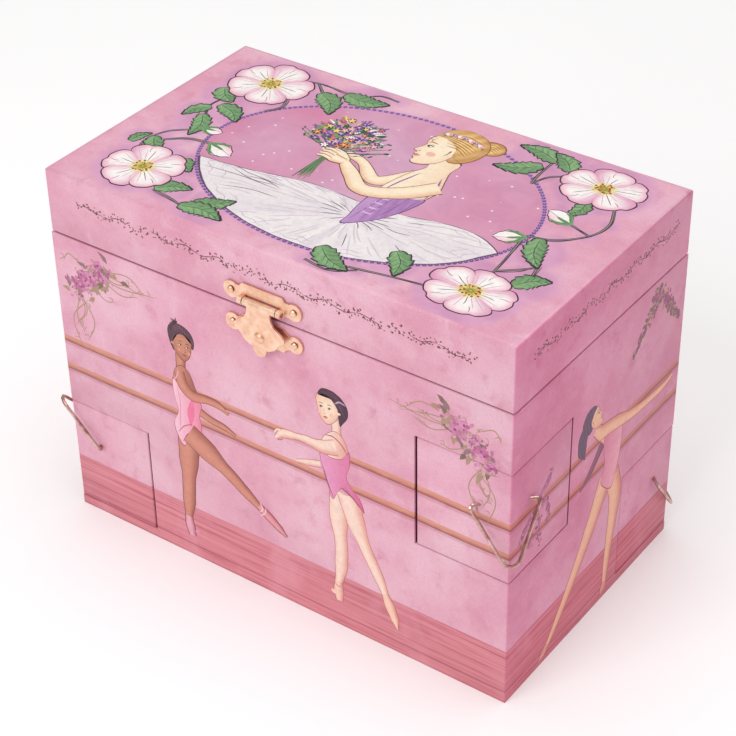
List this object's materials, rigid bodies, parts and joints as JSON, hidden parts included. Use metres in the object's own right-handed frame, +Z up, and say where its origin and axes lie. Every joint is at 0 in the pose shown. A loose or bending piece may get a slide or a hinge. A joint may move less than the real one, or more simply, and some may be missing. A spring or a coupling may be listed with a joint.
{
  "type": "ballerina jewellery box",
  "caption": "Paper-covered musical jewellery box with a rear-hinged mirrored lid, a front hasp, swing-out corner drawers with wire pulls and a turning dancer on a recessed stage.",
  "frame": {"origin": "on the table under the middle of the case, at the centre of the base's flat underside", "axes": "+X to the right seen from the front, +Y to the rear, +Z up; the latch and the front drawers face -Y"},
  "size_m": [0.1986, 0.129, 0.147],
  "materials": {
    "printed_paper": "printed art paper wrapped over fibreboard, satin",
    "raw_board": "bare fibreboard",
    "lilac_lining": "flocked fabric lining",
    "ring_padding": "flocked fabric over padding",
    "mirror_glass": "silvered glass",
    "brassed_latch": "pale brass plate, bright",
    "brass_hinge": "pale brass plate, bright",
    "pull_wire": "rose brass wire, bright",
    "steel_pins": "plain steel",
    "movement_steel": "plain steel",
    "movement_bed": "cast, as cast",
    "movement_brass": "brass, as turned",
    "key_steel": "nickel plated",
    "stage_plastic": "moulded plastic, gloss",
    "dancer_plastic": "painted moulded plastic",
    "tulle": "white net"
  },
  "bodies": {
    "case": {"case_carcass": "printed_paper", "base_panel": "raw_board", "mid_shelf": "raw_board", "tray_floor": "raw_board", "bay_partition_front_left": "raw_board", "bay_partition_front_right": "raw_board", "bay_partition_rear_right": "raw_board", "bay_partition_rear_left": "raw_board", "tray_lining": "lilac_lining", "tray_divider_left": "lilac_lining", "tray_divider_right": "lilac_lining", "ring_cushion": "ring_padding", "latch_lower_plate": "brassed_latch", "latch_nail_3": "brassed_latch", "latch_nail_4": "brassed_latch", "hinge_case_leaf_left": "brass_hinge", "hinge_case_leaf_right": "brass_hinge", "hinge_pin_left": "steel_pins", "hinge_pin_right": "steel_pins", "drawer_pin_front_left": "steel_pins", "drawer_pin_front_right": "steel_pins", "drawer_pin_rear_right": "steel_pins", "drawer_pin_rear_left": "steel_pins", "mainspring": "movement_steel", "tune_comb": "movement_steel", "movement_bedplate": "movement_bed", "spring_barrel": "movement_brass", "governor_bracket": "movement_brass", "stage_cup": "stage_plastic"},
    "lid": {"lid_shell": "printed_paper", "lid_lining": "lilac_lining", "lid_mirror": "mirror_glass", "hinge_lid_leaf_left": "brass_hinge", "hinge_lid_leaf_right": "brass_hinge", "latch_upper_plate": "brassed_latch", "latch_pin": "steel_pins", "latch_nail_1": "brassed_latch", "latch_nail_2": "brassed_latch"},
    "hasp": {"latch_hasp": "brassed_latch"},
    "front_left_drawer": {"drawer_front_left": "printed_paper", "drawer_liner_front_left": "lilac_lining"},
    "front_left_pull": {"drawer_pull_front_left": "pull_wire"},
    "front_right_drawer": {"drawer_front_right": "printed_paper", "drawer_liner_front_right": "lilac_lining"},
    "front_right_pull": {"drawer_pull_front_right": "pull_wire"},
    "rear_right_drawer": {"drawer_rear_right": "printed_paper", "drawer_liner_rear_right": "lilac_lining"},
    "rear_right_pull": {"drawer_pull_rear_right": "pull_wire"},
    "rear_left_drawer": {"drawer_rear_left": "printed_paper", "drawer_liner_rear_left": "lilac_lining"},
    "rear_left_pull": {"drawer_pull_rear_left": "pull_wire"},
    "key": {"winding_key": "key_steel", "crown_wheel": "movement_brass"},
    "dancer": {"stage_spindle": "movement_brass", "tune_drum": "movement_brass", "dancer_spring": "movement_steel", "dancer_figure": "dancer_plastic", "dancer_tutu": "tulle"},
    "governor": {"governor_fan": "movement_steel"},
    "plunger": {"stop_plunger": "movement_steel"}
  },
  "joints": [
    {"name": "lid_hinge", "type": "hinge", "parent": "case", "child": "lid", "pos_m": [0, 0.0574, 0.1218], "axis": [-1, 0, 0], "range_deg": [0, 100]},
    {"name": "hasp_hinge", "type": "hinge", "parent": "lid", "child": "hasp", "pos_m": [-0.0012, -0.0574, 0.1264], "axis": [-1, 0, 0], "range_deg": [0, 135]},
    {"name": "front_left_drawer_swing", "type": "hinge", "parent": "case", "child": "front_left_drawer", "pos_m": [-0.093, -0.0209, 0.0264], "axis": [0, 0, -1], "range_deg": [0, 95]},
    {"name": "front_left_pull_swing", "type": "hinge", "parent": "front_left_drawer", "child": "front_left_pull", "pos_m": [-0.089, -0.0495, 0.0322], "axis": [-0.7071, 0.7071, 0], "range_deg": [-119, 7]},
    {"name": "front_right_drawer_swing", "type": "hinge", "parent": "case", "child": "front_right_drawer", "pos_m": [0.093, -0.0209, 0.0758], "axis": [0, 0, 1], "range_deg": [0, 95]},
    {"name": "front_right_pull_swing", "type": "hinge", "parent": "front_right_drawer", "child": "front_right_pull", "pos_m": [0.089, -0.0495, 0.0816], "axis": [-0.7071, -0.7071, 0], "range_deg": [-6, 120]},
    {"name": "rear_right_drawer_swing", "type": "hinge", "parent": "case", "child": "rear_right_drawer", "pos_m": [0.093, 0.0209, 0.0264], "axis": [0, 0, -1], "range_deg": [0, 95]},
    {"name": "rear_right_pull_swing", "type": "hinge", "parent": "rear_right_drawer", "child": "rear_right_pull", "pos_m": [0.089, 0.0495, 0.0322], "axis": [0.7071, -0.7071, 0], "range_deg": [-1, 125]},
    {"name": "rear_left_drawer_swing", "type": "hinge", "parent": "case", "child": "rear_left_drawer", "pos_m": [-0.093, 0.0209, 0.0758], "axis": [0, 0, 1], "range_deg": [0, 95]},
    {"name": "rear_left_pull_swing", "type": "hinge", "parent": "rear_left_drawer", "child": "rear_left_pull", "pos_m": [-0.089, 0.0495, 0.0816], "axis": [0.7071, 0.7071, 0], "range_deg": [-1, 125]},
    {"name": "key_turn", "type": "hinge", "parent": "case", "child": "key", "pos_m": [0, 0.0334, 0.0735], "axis": [0, 1, 0], "continuous": true},
    {"name": "dancer_spin", "type": "hinge", "parent": "case", "child": "dancer", "pos_m": [0, 0.0262, 0.09], "axis": [0, 0, 1], "continuous": true},
    {"name": "governor_spin", "type": "hinge", "parent": "case", "child": "governor", "pos_m": [0.019, 0.0342, 0.072], "axis": [0, 0, 1], "continuous": true},
    {"name": "plunger_slide", "type": "slide", "parent": "case", "child": "plunger", "axis": [0, 0, 1], "range_m": [0, 0.003]}
  ],
  "couplings": [
    {"joint": "dancer_spin", "follows": "key_turn", "ratio": 1.6},
    {"joint": "governor_spin", "follows": "key_turn", "ratio": -20},
    {"joint": "plunger_slide", "follows": "lid_hinge", "m_per_rad": 0.0017}
  ]
}
